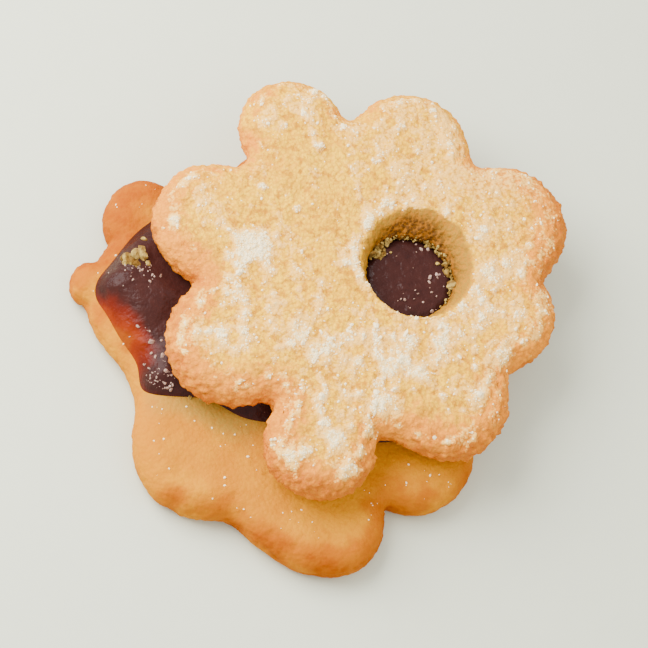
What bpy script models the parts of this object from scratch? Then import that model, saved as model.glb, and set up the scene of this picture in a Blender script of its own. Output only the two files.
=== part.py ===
"""A linzer cookie: two flower-shaped biscuits with a layer of fruit jam between them.

The lower biscuit lies flat, the upper one has slid across it, and the upper one has a round
window in which the jam shows.  Metres, +Z up.  The origin is the centre of the lower biscuit's
flat underside, and the slide is along +X and +Y.

Every piece is a stack of closed rings.  A ring is an outline drawn inward by a distance and
lifted to a height, and the distances and heights follow quarter ellipses.  The window has rings
of its own, and the level faces between the two stacks are filled with triangles.
"""

import bmesh
import bpy
import numpy as np

MM = 0.001

# A flower's round heart and its petals, each a circle: direction (degrees from +X), reach from
# the flower's centre to the circle's far side and radius (mm).  The heart comes first.
UPPER_PETALS = (
    (70.0, 26.7, 26.0),
    (24.5, 34.3, 9.7),
    (70.0, 33.0, 9.0),
    (113.0, 35.0, 8.3),
    (160.0, 34.2, 9.7),
    (207.0, 33.8, 9.8),
    (253.0, 36.2, 8.7),
    (302.0, 31.5, 9.5),
    (348.0, 29.8, 7.8),
)
LOWER_PETALS = (
    (0.0, 26.2, 26.2),
    (2.0, 33.0, 9.6),
    (46.0, 33.6, 9.3),
    (92.0, 32.8, 9.6),
    (138.5, 36.5, 6.1),
    (160.3, 32.9, 11.9),
    (163.5, 35.2, 3.2),
    (228.8, 32.9, 10.7),
    (270.1, 34.2, 10.7),
    (279.2, 35.7, 8.1),
    (317.0, 33.2, 9.5),
)
OUTLINE_SHARPNESS = 16            # how tightly neighbouring circles keep to their own arcs
NOTCH_EASE = 0.8 * MM             # length over which the notches between petals are rounded

SLIDE = np.array((9.5, 8.1)) * MM    # of the upper biscuit across the lower one

# Heights, from the ground up.
BISCUIT_THICKNESS = 6.0 * MM
BELLY_HEIGHT = 2.2 * MM           # where a biscuit's side stands out furthest
JAM_LAYER = 2.2 * MM              # between the two biscuits, with the gaps
CONTACT_GAP = 0.3 * MM            # left between pieces that touch
UPPER_BASE = BISCUIT_THICKNESS + JAM_LAYER

# A biscuit's edge: the soft shoulder above its belly and the small foot below it.
SHOULDER_WIDTH = 4.6 * MM
SHOULDER_FULLNESS = 2.3           # exponent of the shoulder's curve, 2 is a true ellipse
FOOT_WIDTH = 1.3 * MM
TOP_WAVE = 0.25 * MM              # petals of unequal height: size of the slow wave on the top
WAVE_REACH = 26.0 * MM            # distance from the middle at which it has that size

# The window: a round wall, and a mouth in the top face that is wider and further to one side, so
# that the rim between them is steep on the near side and a slope on the far side.  The places
# are from the upper biscuit's centre.
WALL_CENTRE = np.array((6.9, 1.0)) * MM
WALL_RADIUS = 6.55 * MM
MOUTH_CENTRE = np.array((7.8, 2.4)) * MM
MOUTH_RADIUS = 9.2 * MM
RIM_DEPTH = 3.0 * MM
RIM_FULLNESS = 1.5                # exponent of the rim's curve, 1 is a plain slope

# The jam: a round pool that has run out between the biscuits, mostly to one side.
JAM_RADIUS = 24.0 * MM
JAM_RUNS = (                      # direction (degrees), extra reach (mm), half-width (degrees)
    (184.0, 14.9, 33.0),
    (181.0, 1.7, 5.0),
    (207.5, 4.0, 6.0),
    (228.0, 1.4, 9.0),
    (67.0, 2.1, 38.0),
    (315.0, 1.5, 23.0),
)
JAM_LIP_WIDTH = 5.0 * MM
JAM_LIP_THICKNESS = 0.35 * MM
JAM_DEPTH_IN_WINDOW = 3.7 * MM    # from the top face down to the jam
JAM_CROWN = 0.35 * MM
JAM_CROWN_WIDTH = 0.7             # share of the plug's radius over which it rises

AROUND = 128                      # points round a biscuit
AROUND_JAM = 112
AROUND_WINDOW = 72


def angle_gap(angles, direction):
    """Signed difference between angles and one direction, between minus and plus half a turn."""
    return (angles - direction + np.pi) % (2.0 * np.pi) - np.pi


def spread_evenly(points, count):
    """Points at equal steps along a closed line, starting at its first point."""
    closed = np.vstack((points, points[:1]))
    steps = np.hypot(*np.diff(closed, axis=0).T)
    along = np.concatenate(((0.0,), np.cumsum(steps)))
    wanted = np.arange(count) * along[-1] / count
    return np.column_stack([np.interp(wanted, along, closed[:, axis]) for axis in (0, 1)])


def ease(points, length):
    """A closed line of even steps, averaged with a bell-shaped weight of the given length."""
    step = np.hypot(*(points[1] - points[0]))
    reach = int(np.ceil(3.0 * length / step))
    shifts = np.arange(-reach, reach + 1)
    weights = np.exp(-0.5 * (shifts * step / length) ** 2)
    weights /= weights.sum()
    return sum(w * np.roll(points, s, axis=0) for w, s in zip(weights, shifts))


def flower_outline(petals, count):
    """Outline of a flower: the largest reach of any of its circles, blended by a high power
    mean, then eased in the notches."""
    angles = np.linspace(0.0, 2.0 * np.pi, 1440, endpoint=False)
    total = np.zeros(angles.shape)
    for direction, reach, radius in petals:
        turn = angle_gap(angles, np.radians(direction))
        distance = (reach - radius) * MM
        inside = np.clip((radius * MM) ** 2 - (distance * np.sin(turn)) ** 2, 0.0, None)
        far_side = distance * np.cos(turn) + np.sqrt(inside)
        reached = (inside > 0.0) & (far_side > 0.0)
        total += np.where(reached, far_side, 0.0) ** OUTLINE_SHARPNESS
    reach = total ** (1.0 / OUTLINE_SHARPNESS)
    fine = np.column_stack((reach * np.cos(angles), reach * np.sin(angles)))
    fine = ease(spread_evenly(fine, 1440), NOTCH_EASE)
    return spread_evenly(fine, count)


def jam_outline(count):
    """Outline of the jam: a circle with a bell-shaped bulge for each way the jam has run."""
    angles = np.linspace(0.0, 2.0 * np.pi, 1440, endpoint=False)
    reach = np.full(angles.shape, JAM_RADIUS)
    for direction, extra, width in JAM_RUNS:
        turn = angle_gap(angles, np.radians(direction))
        reach += extra * MM * np.exp(-((turn / np.radians(width)) ** 2))
    return spread_evenly(np.column_stack((reach * np.cos(angles), reach * np.sin(angles))), count)


def inward(points):
    """Unit vectors pointing into a closed anticlockwise line, square to it."""
    along = np.roll(points, -1, axis=0) - np.roll(points, 1, axis=0)
    along /= np.linalg.norm(along, axis=1)[:, None]
    return np.column_stack((-along[:, 1], along[:, 0]))


def circle(centre, radius):
    """Points at equal steps round the window or its plug."""
    angles = np.linspace(0.0, 2.0 * np.pi, AROUND_WINDOW, endpoint=False)
    return centre + radius * np.column_stack((np.cos(angles), np.sin(angles)))


def quarter(count, fullness=2.0):
    """Points of a quarter of a rounded corner, from (0, 0) straight up to (1, 1) level."""
    turn = np.linspace(0.0, 0.5 * np.pi, count)
    return 1.0 - np.cos(turn) ** (2.0 / fullness), np.sin(turn) ** (2.0 / fullness)


def wave(points):
    """Slow unevenness of a baked top: zero in the middle and up to a fraction of a millimetre
    on the petals."""
    angles = np.arctan2(points[:, 1], points[:, 0])
    out = np.sum(points ** 2, axis=1) / WAVE_REACH ** 2
    return TOP_WAVE * out * (0.6 * np.cos(angles - 1.1) + 0.5 * np.cos(3.0 * angles + 0.4))


def lifted(points, heights):
    """A flat line of points at the given height or heights."""
    return np.column_stack((points, np.broadcast_to(heights, len(points))))


def edge_rings(outline):
    """Rings of a biscuit's edge from its flat foot, over the belly, to the top of the shoulder."""
    into = inward(outline)
    rings = []
    across, up = quarter(4)
    for a, u in zip(across[::-1], up[::-1]):
        rings.append(lifted(outline + into * FOOT_WIDTH * a, BELLY_HEIGHT * (1.0 - u)))
    across, up = quarter(6, SHOULDER_FULLNESS)
    rise = BISCUIT_THICKNESS - BELLY_HEIGHT
    for a, u in zip(across[1:], up[1:]):
        line = outline + into * SHOULDER_WIDTH * a
        rings.append(lifted(line, BELLY_HEIGHT + rise * u + wave(line) * u))
    return rings


def window_rings():
    """Rings of the window from its mouth in the top face, over the rim and down the wall."""
    rings = []
    across, up = quarter(5, RIM_FULLNESS)
    for a, u in zip(across[::-1], up[::-1]):
        line = circle(WALL_CENTRE * (1.0 - a) + MOUTH_CENTRE * a,
                      WALL_RADIUS * (1.0 - a) + MOUTH_RADIUS * a)
        rings.append(lifted(line, BISCUIT_THICKNESS + wave(line) * u - RIM_DEPTH * (1.0 - u)))
    rings.append(lifted(circle(WALL_CENTRE, WALL_RADIUS), 0.0))
    return rings


def add_rings(mesh, rings):
    """One loop of vertices for each ring, with each pair of neighbouring loops bridged."""
    loops = []
    for ring in rings:
        loops.append([mesh.verts.new(point) for point in ring])
    for below, above in zip(loops, loops[1:]):
        bridge(mesh, below, above)
    return loops


def bridge(mesh, below, above):
    """A band of four-sided faces between two loops of equally many vertices."""
    count = len(below)
    for i in range(count):
        j = (i + 1) % count
        mesh.faces.new((below[i], below[j], above[j], above[i]))


def fill_level(mesh, outer, inner):
    """Triangles over the level face between an outer loop of vertices and one inside it."""
    edges = []
    for loop in (outer, inner):
        for i, vertex in enumerate(loop):
            edges.append(mesh.edges.get((vertex, loop[(i + 1) % len(loop)])))
    bmesh.ops.triangle_fill(mesh, use_beauty=True, use_dissolve=False, edges=edges)


def make_piece(name, mesh, centre, height, look):
    """Put a finished mesh into the scene as a named object with its own material."""
    bmesh.ops.recalc_face_normals(mesh, faces=mesh.faces)
    data = bpy.data.meshes.new(name)
    mesh.to_mesh(data)
    mesh.free()
    data.shade_smooth()
    data.set_sharp_from_angle(angle=np.radians(50.0))
    colour, roughness, coat = look
    material = bpy.data.materials.new(name + "_material")
    material.use_nodes = True
    shader = material.node_tree.nodes["Principled BSDF"]
    shader.inputs["Base Color"].default_value = (*colour, 1.0)
    shader.inputs["Roughness"].default_value = roughness
    shader.inputs["Metallic"].default_value = 0.0
    shader.inputs["Coat Weight"].default_value = coat
    data.materials.append(material)
    piece = bpy.data.objects.new(name, data)
    piece.location = (centre[0], centre[1], height)
    bpy.context.scene.collection.objects.link(piece)
    return piece


def make_lower_biscuit():
    """The whole flower with a flat underside and a flat top, on which the jam lies."""
    mesh = bmesh.new()
    outline = flower_outline(LOWER_PETALS, AROUND)
    loops = add_rings(mesh, edge_rings(outline))
    mesh.faces.new(reversed(loops[0]))
    mesh.faces.new(loops[-1])
    return make_piece("base_cookie", mesh, (0.0, 0.0), 0.0, ((0.78, 0.45, 0.18), 0.6, 0.0))


def make_upper_biscuit():
    """The flower with a window: one stack of rings up its edge and another down the window, with
    the top face and the underside between them."""
    mesh = bmesh.new()
    edge = add_rings(mesh, edge_rings(flower_outline(UPPER_PETALS, AROUND)))
    window = add_rings(mesh, window_rings())
    fill_level(mesh, edge[-1], window[0])
    fill_level(mesh, edge[0], window[-1])
    return make_piece("top_cookie", mesh, SLIDE, UPPER_BASE, ((0.86, 0.68, 0.43), 0.75, 0.0))


def make_jam():
    """The layer between the biscuits, thin at its edge, with the plug that fills the foot of the
    window."""
    mesh = bmesh.new()
    outline = jam_outline(AROUND_JAM)
    into = inward(outline)
    full = JAM_LAYER - 2.0 * CONTACT_GAP
    layer = [lifted(outline + into * JAM_LIP_THICKNESS, 0.0)]
    across, up = quarter(5)
    for a, u in zip(across, up):
        height = JAM_LIP_THICKNESS + (full - JAM_LIP_THICKNESS) * u
        layer.append(lifted(outline + into * JAM_LIP_WIDTH * a, height))
    plug_radius = WALL_RADIUS - CONTACT_GAP
    plug_top = JAM_LAYER - CONTACT_GAP + BISCUIT_THICKNESS - JAM_DEPTH_IN_WINDOW
    plug = [lifted(circle(WALL_CENTRE, plug_radius), full)]
    across, up = quarter(4)
    for a, u in zip(across, up):
        line = circle(WALL_CENTRE, plug_radius * (1.0 - JAM_CROWN_WIDTH * a))
        plug.append(lifted(line, plug_top - JAM_CROWN * (1.0 - u)))
    layer_loops = add_rings(mesh, layer)
    plug_loops = add_rings(mesh, plug)
    mesh.faces.new(reversed(layer_loops[0]))
    fill_level(mesh, layer_loops[-1], plug_loops[0])
    mesh.faces.new(plug_loops[-1])
    height = BISCUIT_THICKNESS + CONTACT_GAP
    return make_piece("jam", mesh, SLIDE, height, ((0.16, 0.02, 0.02), 0.2, 0.6))


def main():
    for leftover in list(bpy.data.objects):
        bpy.data.objects.remove(leftover, do_unlink=True)
    make_lower_biscuit()
    make_jam()
    make_upper_biscuit()


main()
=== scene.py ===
"""Looks of a linzer cookie: two flower-shaped biscuits with fruit jam between them.

Each piece is a grid of rings by columns.  A ring is a closed line of equally many points, and
the grid's surface is that stack of rings, roughened along its own normals by noise.
Lengths are in metres, and +Z is up.
"""

import bmesh
import bpy
import numpy as np
from mathutils import Matrix, Vector


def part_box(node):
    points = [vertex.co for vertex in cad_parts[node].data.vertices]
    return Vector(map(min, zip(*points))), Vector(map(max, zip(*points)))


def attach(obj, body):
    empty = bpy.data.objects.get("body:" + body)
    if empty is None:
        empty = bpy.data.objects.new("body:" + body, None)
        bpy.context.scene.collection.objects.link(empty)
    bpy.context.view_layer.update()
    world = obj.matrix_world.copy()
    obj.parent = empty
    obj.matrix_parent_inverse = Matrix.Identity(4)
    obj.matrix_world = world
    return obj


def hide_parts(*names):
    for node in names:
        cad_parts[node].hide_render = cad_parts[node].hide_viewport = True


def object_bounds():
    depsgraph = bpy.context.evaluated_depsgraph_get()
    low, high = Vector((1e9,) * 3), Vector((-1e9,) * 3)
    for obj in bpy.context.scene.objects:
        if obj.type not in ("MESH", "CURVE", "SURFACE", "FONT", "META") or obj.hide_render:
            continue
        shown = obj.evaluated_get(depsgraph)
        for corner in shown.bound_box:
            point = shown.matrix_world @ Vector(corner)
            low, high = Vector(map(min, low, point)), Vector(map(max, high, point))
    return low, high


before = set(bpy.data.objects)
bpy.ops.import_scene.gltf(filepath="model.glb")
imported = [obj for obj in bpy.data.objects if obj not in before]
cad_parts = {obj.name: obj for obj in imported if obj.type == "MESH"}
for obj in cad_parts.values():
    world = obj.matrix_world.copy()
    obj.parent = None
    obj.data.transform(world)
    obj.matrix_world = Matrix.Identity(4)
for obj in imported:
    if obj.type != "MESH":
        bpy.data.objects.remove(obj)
CAD_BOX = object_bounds()

MM = 0.001

# ======== sizes shared with the solids

# A flower's round heart and its petals, each a circle: direction (degrees from +X), reach from
# the flower's centre to the circle's far side and radius (mm).  The heart comes first.
UPPER_PETALS = (
    (70.0, 26.7, 26.0),
    (24.5, 34.3, 9.7),
    (70.0, 33.0, 9.0),
    (113.0, 35.0, 8.3),
    (160.0, 34.2, 9.7),
    (207.0, 33.8, 9.8),
    (253.0, 36.2, 8.7),
    (302.0, 31.5, 9.5),
    (348.0, 29.8, 7.8),
)
LOWER_PETALS = (
    (0.0, 26.2, 26.2),
    (2.0, 33.0, 9.6),
    (46.0, 33.6, 9.3),
    (92.0, 32.8, 9.6),
    (138.5, 36.5, 6.1),
    (160.3, 32.9, 11.9),
    (163.5, 35.2, 3.2),
    (228.8, 32.9, 10.7),
    (270.1, 34.2, 10.7),
    (279.2, 35.7, 8.1),
    (317.0, 33.2, 9.5),
)
OUTLINE_SHARPNESS = 16
NOTCH_EASE = 0.8 * MM
WALL_CENTRE = np.array((6.9, 1.0)) * MM
WALL_RADIUS = 6.55 * MM
MOUTH_CENTRE = np.array((7.8, 2.4)) * MM
MOUTH_RADIUS = 9.2 * MM
RIM_DEPTH = 3.0 * MM
RIM_FULLNESS = 1.5
BISCUIT_THICKNESS = 6.0 * MM
BELLY_HEIGHT = 2.2 * MM
SHOULDER_WIDTH = 4.6 * MM
SHOULDER_FULLNESS = 2.3
FOOT_WIDTH = 1.3 * MM
TOP_WAVE = 0.25 * MM
WAVE_REACH = 26.0 * MM
# The jam is a circle, with runs: direction (degrees), reach past the circle (mm) and spread.
JAM_RADIUS = 24.0 * MM
JAM_RUNS = (
    (184.0, 14.9, 33.0),
    (181.0, 1.7, 5.0),
    (207.5, 4.0, 6.0),
    (228.0, 1.4, 9.0),
    (67.0, 2.1, 38.0),
    (315.0, 1.5, 23.0),
)
JAM_DEPTH_IN_WINDOW = 3.7 * MM

# ======== layout of the grids

AROUND = 720  # columns round a biscuit
AROUND_JAM = 600
FINE_OUTLINE = 2880  # points of the outline that columns are read from
NORMAL_INSET = 1.3 * MM  # rings keep square to the outline up to here, then run to a pole
UPPER_POLE = np.array((1.25, 1.5)) * MM
LOWER_POLE = np.array((-3.0, -3.0)) * MM
POLE_RING = 2.0 * MM  # radius of the last ring round a pole
BELLY_RINGS = 7  # from a biscuit's foot up to its belly
SHOULDER_RINGS = 14  # from there to the end of the inset
UPPER_TOP_RINGS = 86
UPPER_UNDER_RINGS = 7
RIM_RINGS = 15
WALL_RINGS = 9
LOWER_TOP_RINGS = 104
LOWER_UNDER_RINGS = 10


# ======== noise

LATTICE = 64  # cells after which the noise repeats
LATTICE_SHIFT = 100.0  # cells, so that places are positive


def smooth_noise(points, size, seed):
    """Gradient noise, roughly -1 to 1, with bumps about `size` across: each corner of the
    point's cell gives a random slope, and the eight are blended by a smooth quintic step."""
    slopes = np.random.default_rng(seed).normal(size=(LATTICE, LATTICE, LATTICE, 3))
    slopes = slopes.astype(np.float32)
    slopes /= np.linalg.norm(slopes, axis=-1, keepdims=True)
    place = points.reshape(-1, 3) / size + LATTICE_SHIFT
    cell = np.floor(place).astype(int)
    inside = (place - cell).astype(np.float32)
    blend = inside ** 3 * (inside * (inside * 6.0 - 15.0) + 10.0)
    total = np.zeros(len(place), np.float32)
    for corner in np.ndindex(2, 2, 2):
        step = np.array(corner)
        at = (cell + step) % LATTICE
        slope = slopes[at[:, 0], at[:, 1], at[:, 2]]
        weight = np.where(step == 1, blend, 1.0 - blend).prod(axis=1)
        total += weight * np.sum(slope * (inside - step), axis=1)
    return (1.5 * total).reshape(points.shape[:-1])


def layered_noise(points, size, layers, seed):
    """Sum of smooth noises, each half the size and half the strength of the one before."""
    total = 0.0
    for k in range(layers):
        total = total + smooth_noise(points, size * 0.5 ** k, seed + k) * 0.5 ** k
    return total


def cell_noise(points, size, seed):
    """For each point, the distance to the nearest of a set of scattered seeds, one in each cube
    of side `size`, as a share of size, and a random number that belongs to that seed."""
    table = np.random.default_rng(seed).random((LATTICE, LATTICE, LATTICE, 4)).astype(np.float32)
    place = points.reshape(-1, 3) / size + LATTICE_SHIFT
    cell = np.floor(place).astype(int)
    inside = (place - cell).astype(np.float32)
    best = np.full(len(place), 9.0, np.float32)
    mark = np.zeros(len(place), np.float32)
    for corner in np.ndindex(3, 3, 3):
        step = np.array(corner) - 1
        at = (cell + step) % LATTICE
        row = table[at[:, 0], at[:, 1], at[:, 2]]
        away = np.sum((row[:, :3] + step - inside) ** 2, axis=1)
        closer = away < best
        best = np.where(closer, away, best)
        mark = np.where(closer, row[:, 3], mark)
    shape = points.shape[:-1]
    return np.sqrt(best).reshape(shape), mark.reshape(shape)


def step_up(values, low, high):
    """Smooth step from 0 at low to 1 at high."""
    t = np.clip((values - low) / (high - low), 0.0, 1.0)
    return t * t * (3.0 - 2.0 * t)


def bell(points, x, y, radius):
    """Bell-shaped patch on the plan, 1 at (x, y) and faded at a radius, all in millimetres."""
    away = (points[..., 0] / MM - x) ** 2 + (points[..., 1] / MM - y) ** 2
    return np.exp(-away / radius ** 2)


def with_rows(base, shape, where, rows):
    """A base value plus, for each row, the shape of the row's numbers times its last number."""
    for *numbers, strength in rows:
        base = base + strength * shape(where, *numbers)
    return base


# ======== outlines

def way_to(points):
    """Direction of each point from the origin on the plan."""
    return np.arctan2(points[..., 1], points[..., 0])


def angle_gap(angles, direction):
    """Signed difference between angles and one direction, between minus and plus half a turn."""
    return (angles - direction + np.pi) % (2.0 * np.pi) - np.pi


def fan(angles, direction, spread):
    """Bell over angles: 1 in one direction and faded at a spread, both in degrees."""
    return np.exp(-((angle_gap(angles, np.radians(direction)) / np.radians(spread)) ** 2))


def spread_evenly(points, count):
    """Points at equal steps along a closed line, starting at its first point."""
    closed = np.vstack((points, points[:1]))
    steps = np.hypot(*np.diff(closed, axis=0).T)
    along = np.concatenate(((0.0,), np.cumsum(steps)))
    wanted = np.arange(count) * along[-1] / count
    return np.column_stack([np.interp(wanted, along, closed[:, axis]) for axis in (0, 1)])


def ease(points, length):
    """A closed line of even steps, averaged with a bell-shaped weight of the given length."""
    step = np.hypot(*(points[1] - points[0]))
    reach = int(np.ceil(3.0 * length / step))
    shifts = np.arange(-reach, reach + 1)
    weights = np.exp(-0.5 * (shifts * step / length) ** 2)
    weights /= weights.sum()
    return sum(w * np.roll(points, s, axis=0) for w, s in zip(weights, shifts))


def flower_outline(petals, count):
    """Outline of a flower: the largest reach of any of its circles, blended by a high power
    mean, then eased in the notches."""
    angles = np.linspace(0.0, 2.0 * np.pi, FINE_OUTLINE, endpoint=False)
    total = np.zeros(angles.shape)
    for direction, reach, radius in petals:
        turn = angle_gap(angles, np.radians(direction))
        distance = (reach - radius) * MM
        inside = np.clip((radius * MM) ** 2 - (distance * np.sin(turn)) ** 2, 0.0, None)
        far_side = distance * np.cos(turn) + np.sqrt(inside)
        reached = (inside > 0.0) & (far_side > 0.0)
        total += np.where(reached, far_side, 0.0) ** OUTLINE_SHARPNESS
    reach = total ** (1.0 / OUTLINE_SHARPNESS)
    fine = np.column_stack((reach * np.cos(angles), reach * np.sin(angles)))
    fine = ease(spread_evenly(fine, FINE_OUTLINE), NOTCH_EASE)
    return spread_evenly(fine, count)


def jam_outline(count):
    """Outline of the jam: a circle with a bell-shaped bulge for each way the jam has run."""
    angles = np.linspace(0.0, 2.0 * np.pi, FINE_OUTLINE, endpoint=False)
    reach = np.full(angles.shape, JAM_RADIUS)
    for direction, extra, spread in JAM_RUNS:
        reach += extra * MM * fan(angles, direction, spread)
    return spread_evenly(np.column_stack((reach * np.cos(angles), reach * np.sin(angles))), count)


def inward(points):
    """Unit vectors pointing into a closed anticlockwise line, square to it."""
    along = np.roll(points, -1, axis=0) - np.roll(points, 1, axis=0)
    along /= np.linalg.norm(along, axis=1)[:, None]
    return np.column_stack((-along[:, 1], along[:, 0]))


def facing_circle(line, pole, centre, radius):
    """The points of a circle that lie in the same directions from a pole as a line's points: the
    pole, plus each unit direction times its reach, from the quadratic for a ray and a circle."""
    way = line[:, :2] - pole
    way /= np.linalg.norm(way, axis=1)[:, None]
    level = way @ (centre - pole)
    reach = level + np.sqrt(level ** 2 + radius ** 2 - np.sum((centre - pole) ** 2))
    return pole + way * reach[:, None]


def distance_to_line(points, line):
    """Distance on the plan from each point of a grid to the nearest point of a line."""
    flat = points[..., :2].reshape(-1, 2).astype(np.float32)
    best = np.full(len(flat), 1.0, np.float32)
    for part in np.array_split(line.astype(np.float32), 24):
        away = np.sum((flat[:, None, :] - part[None, :, :]) ** 2, axis=2).min(axis=1)
        best = np.minimum(best, away)
    return np.sqrt(best).reshape(points.shape[:-1])


def inside_line(points, line):
    """True where a point is nearer the origin than a line round the origin is in its direction."""
    line_angle = way_to(line)
    order = np.argsort(line_angle)
    reach = np.hypot(line[:, 0], line[:, 1])[order]
    edge = np.interp(way_to(points), line_angle[order], reach, period=2.0 * np.pi)
    return np.hypot(points[..., 0], points[..., 1]) < edge


# ======== grids and meshes

def shares(count):
    """Even shares from one step above 0 up to 1."""
    return np.linspace(0.0, 1.0, count + 1)[1:]


def quarter(count, fullness=2.0):
    """Points of a quarter of a rounded corner, from (0, 0) straight up to (1, 1) level."""
    turn = np.linspace(0.0, 0.5 * np.pi, count)
    return 1.0 - np.cos(turn) ** (2.0 / fullness), np.sin(turn) ** (2.0 / fullness)


def wave(points):
    """Slow unevenness of a baked top: zero in the middle and up to a fraction of a millimetre
    on the petals."""
    angles = way_to(points)
    out = np.sum(points ** 2, axis=1) / WAVE_REACH ** 2
    return TOP_WAVE * out * (0.6 * np.cos(angles - 1.1) + 0.5 * np.cos(3.0 * angles + 0.4))


def lifted(points, heights):
    """A flat line of points at the given height or heights."""
    return np.column_stack((points, np.broadcast_to(heights, len(points))))


def grid_normals(grid, closed):
    """Unit normals of a grid from the differences between neighbouring rings and columns.
    A closed grid's last ring meets its first."""
    around = np.roll(grid, -1, axis=1) - np.roll(grid, 1, axis=1)
    if closed:
        across = np.roll(grid, -1, axis=0) - np.roll(grid, 1, axis=0)
    else:
        across = np.gradient(grid, axis=0)
    normals = np.cross(around, across)
    return normals / np.maximum(np.linalg.norm(normals, axis=2, keepdims=True), 1e-12)


def grid_mesh(name, grid, closed, **marks):
    """A mesh from a grid: four-sided faces between rings, and either the last ring joined to
    the first or a fan at each end.  It stores marks, from 0 to 1 at each point, for its
    material to read."""
    rings, columns = grid.shape[:2]
    index = np.arange(rings * columns).reshape(rings, columns)
    upper = np.roll(index, -1, axis=0) if closed else index[1:]
    lower = index if closed else index[:-1]
    next_lower, next_upper = np.roll(lower, -1, axis=1), np.roll(upper, -1, axis=1)
    quads = np.stack((lower, next_lower, next_upper, upper), axis=2)
    faces = quads.reshape(-1, 4).tolist()
    points = grid.reshape(-1, 3)
    if not closed:
        start, end = len(points), len(points) + 1
        points = np.vstack((points, grid[0].mean(axis=0), grid[-1].mean(axis=0)))
        first, last = index[0], index[-1]
        faces += np.column_stack((np.roll(first, -1), first, np.full(columns, start))).tolist()
        faces += np.column_stack((last, np.roll(last, -1), np.full(columns, end))).tolist()
    mesh = bpy.data.meshes.new(name)
    mesh.from_pydata(points, [], faces)
    mesh.shade_smooth()
    for mark, values in marks.items():
        values = np.clip(values, 0.0, 1.0).ravel().astype(np.float32)
        values = np.pad(values, (0, len(points) - len(values)), mode="edge")
        mesh.attributes.new(mark, "FLOAT", "POINT").data.foreach_set("value", values)
    return mesh


def add_piece(name, mesh, material, node=None):
    """Put a mesh into the scene as a piece of the cookie, in place of a solid if one is named."""
    mesh.materials.append(material)
    piece = bpy.data.objects.new(name, mesh)
    bpy.context.scene.collection.objects.link(piece)
    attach(piece, "root")
    if node:
        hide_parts(node)


# ======== biscuits

def centre_of(node, outline):
    """Plan position of a piece's centre: the CAD node's box, less the outline's own corner."""
    return np.array(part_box(node)[0][:2]) - outline.min(axis=0)


def shoulder_height(inset):
    """Height of a biscuit's top at a distance inward from its outline: a superellipse from the
    belly up to the level top."""
    out = 1.0 - np.clip(inset / SHOULDER_WIDTH, 0.0, 1.0)
    arc = (1.0 - out ** SHOULDER_FULLNESS) ** (1.0 / SHOULDER_FULLNESS)
    return BELLY_HEIGHT + (BISCUIT_THICKNESS - BELLY_HEIGHT) * arc


def top_height(line, outline):
    """Height of a biscuit's top over any point of the plan."""
    inset = distance_to_line(line[None, :, :2], outline)[0]
    share = np.clip(inset / SHOULDER_WIDTH, 0.0, 1.0)
    return shoulder_height(inset) + wave(line) * share


def edge_rings(outline):
    """Rings of a biscuit's edge, square to the outline: from its flat foot, over the belly, to
    the lower part of the shoulder."""
    into = inward(outline)
    rings = []
    across, up = quarter(BELLY_RINGS)
    for a, u in zip(across[::-1], up[::-1]):
        rings.append(lifted(outline + into * FOOT_WIDTH * a, BELLY_HEIGHT * (1.0 - u)))
    for share in shares(SHOULDER_RINGS):
        inset = NORMAL_INSET * share ** 2
        line = outline + into * inset
        height = shoulder_height(inset) + wave(line) * inset / SHOULDER_WIDTH
        rings.append(lifted(line, height))
    return rings


def between(first, last, steps):
    """Lines at even steps from one flat line to another, without the first one."""
    return [first[:, :2] * (1.0 - share) + last[:, :2] * share for share in shares(steps)]


def window_rings(seen_from):
    """Rings over the window's rim and down its wall: circles whose centre and radius pass from
    the mouth's to the wall's, with the columns where an outer line has them."""
    rings = []
    across, up = quarter(RIM_RINGS + 1, RIM_FULLNESS)
    for a, u in zip(across[-2::-1], up[-2::-1]):
        centre = WALL_CENTRE * (1.0 - a) + MOUTH_CENTRE * a
        radius = WALL_RADIUS * (1.0 - a) + MOUTH_RADIUS * a
        line = facing_circle(seen_from, UPPER_POLE, centre, radius)
        rings.append(lifted(line, BISCUIT_THICKNESS + wave(line) * u - RIM_DEPTH * (1.0 - u)))
    wall = [rings[-1] * (1.0, 1.0, 1.0 - share) for share in shares(WALL_RINGS)]
    return rings + wall


def upper_grid():
    """Grid of the biscuit with the window: up its edge, across the top, over the window's soft
    rim, down the wall and back along the underside to where it began."""
    outline = flower_outline(UPPER_PETALS, AROUND)
    edge = edge_rings(outline)
    mouth = facing_circle(edge[-1], UPPER_POLE, MOUTH_CENTRE, MOUTH_RADIUS)
    level = between(edge[-1], mouth, UPPER_TOP_RINGS)
    top = [lifted(line, top_height(line, outline)) for line in level]
    window = window_rings(edge[-1])
    flat = between(window[-1], edge[0], UPPER_UNDER_RINGS)[:-1]
    under = [lifted(line, 0.0) for line in flat]
    return outline, np.array(edge + top + window + under)


def lower_grid():
    """Grid of the whole flower: from the middle of its underside, round its edge to the middle
    of its top."""
    outline = flower_outline(LOWER_PETALS, AROUND)
    edge = edge_rings(outline)
    middle = facing_circle(edge[-1], LOWER_POLE, LOWER_POLE, POLE_RING)
    flat = between(edge[0], middle, LOWER_UNDER_RINGS)[::-1]
    under = [lifted(line, 0.0) for line in flat]
    level = between(edge[-1], middle, LOWER_TOP_RINGS)
    top = [lifted(line, top_height(line, outline)) for line in level]
    return outline, np.array(under + edge + top)


def roughen(grid, closed, relief):
    """The grid moved along its own normals by the relief."""
    return grid + grid_normals(grid, closed) * relief[..., None]


def swells(points, height, size, seed):
    """Smooth bumps of a height, about a size across, both in millimetres."""
    return height * MM * smooth_noise(points, size * MM, seed)


def pores(points, size, share, depth, seed):
    """Small pits, a size apart and of a depth in millimetres: a round hollow at a share of a set
    of scattered seeds."""
    away, mark = cell_noise(points, size * MM, seed)
    return -depth * MM * step_up(away, 0.42, 0.12) * (mark < share)


GRAIN_SIZE = 0.95 * MM
FINE_SIZE = 1.4 * MM  # of the noise between the grains


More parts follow.
